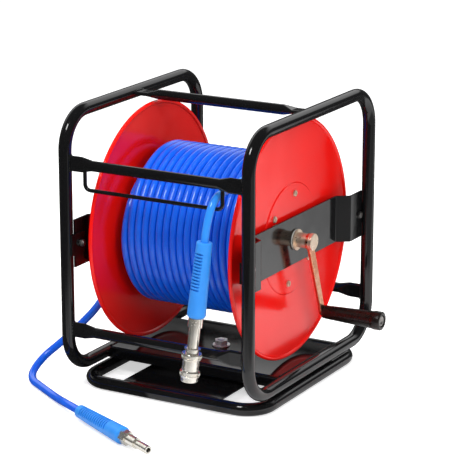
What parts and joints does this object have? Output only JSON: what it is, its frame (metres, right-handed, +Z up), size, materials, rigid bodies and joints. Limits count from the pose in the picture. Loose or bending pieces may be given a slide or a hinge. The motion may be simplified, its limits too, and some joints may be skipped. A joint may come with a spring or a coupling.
{
  "type": "hose reel",
  "caption": "Hand-cranked air hose reel: red drum discs in a black tubular frame that swivels on a floor loop, with wound blue hose, hose guide, supply lead and quick coupler.",
  "frame": {"origin": "on the floor, on the swivel axis at the middle of the base loop", "axes": "+X along the drum axle towards the crank, -Y the front where the hose leaves, +Z up"},
  "size_m": [0.5053, 0.5911, 0.445],
  "materials": {
    "frame_black": "gloss black powder coat",
    "disc_red": "gloss red enamel",
    "zinc": "bright zinc plate",
    "yellow_zinc": "yellow passivated zinc plate",
    "hose_blue": "smooth polyurethane",
    "guard_blue": "moulded soft guard",
    "nickel": "nickel plated",
    "grip_black": "moulded grip",
    "bush_nylon": "nylon",
    "race_steel": "oiled steel"
  },
  "bodies": {
    "base": {"base_loop": "frame_black", "base_plate": "frame_black", "race_lower": "race_steel", "thrust_ring": "bush_nylon", "pivot_bolt": "zinc", "pivot_washer": "zinc", "pivot_nut": "zinc"},
    "frame": {"hoop_left": "frame_black", "hoop_right": "frame_black", "bar_front_upper": "frame_black", "bar_front_lower": "frame_black", "bar_rear_lower": "frame_black", "bar_handle": "frame_black", "guide_wire": "frame_black", "turn_plate": "frame_black", "race_upper": "race_steel", "side_plate_left": "frame_black", "side_plate_right": "frame_black", "lug_left_front": "frame_black", "lug_left_rear": "frame_black", "lug_right_front": "frame_black", "lug_right_rear": "frame_black", "plate_bolt_left_front": "zinc", "plate_bolt_left_rear": "zinc", "plate_bolt_right_front": "zinc", "plate_bolt_right_rear": "zinc", "axle_bush_left": "bush_nylon", "axle_bush_right": "bush_nylon", "inlet_body": "nickel", "lead_crimp": "nickel", "supply_lead": "hose_blue", "lead_guard": "guard_blue", "lead_plug": "nickel", "hose_tail": "hose_blue", "tail_guard": "guard_blue", "coupler_body": "nickel"},
    "drum": {"axle": "race_steel", "hub_flange_left": "disc_red", "hub_flange_right": "disc_red", "drum_barrel": "disc_red", "feed_nipple": "nickel", "disc_left": "disc_red", "disc_right": "disc_red", "disc_screws_left": "zinc", "disc_screws_right": "zinc", "crank_washer": "yellow_zinc", "crank_sleeve": "yellow_zinc", "crank_arm": "yellow_zinc", "crank_cap": "yellow_zinc", "crank_pin": "zinc", "wind_core": "hose_blue", "hose_winding": "hose_blue"},
    "grip": {"grip": "grip_black"},
    "release_sleeve": {"coupler_sleeve": "nickel"}
  },
  "joints": [
    {"name": "frame_swivel", "type": "hinge", "parent": "base", "child": "frame", "pos_m": [0, 0, 0.03], "axis": [0, 0, 1], "continuous": true},
    {"name": "drum_turn", "type": "hinge", "parent": "frame", "child": "drum", "pos_m": [0, 0, 0.235], "axis": [1, 0, 0], "continuous": true},
    {"name": "grip_spin", "type": "hinge", "parent": "drum", "child": "grip", "pos_m": [0.2, 0.04373, 0.11151], "axis": [1, 0, 0], "continuous": true},
    {"name": "sleeve_slide", "type": "slide", "parent": "frame", "child": "release_sleeve", "axis": [0.092, 0.062, 0.9938], "range_m": [0, 0.005], "stiffness_N_per_m": 2000}
  ]
}
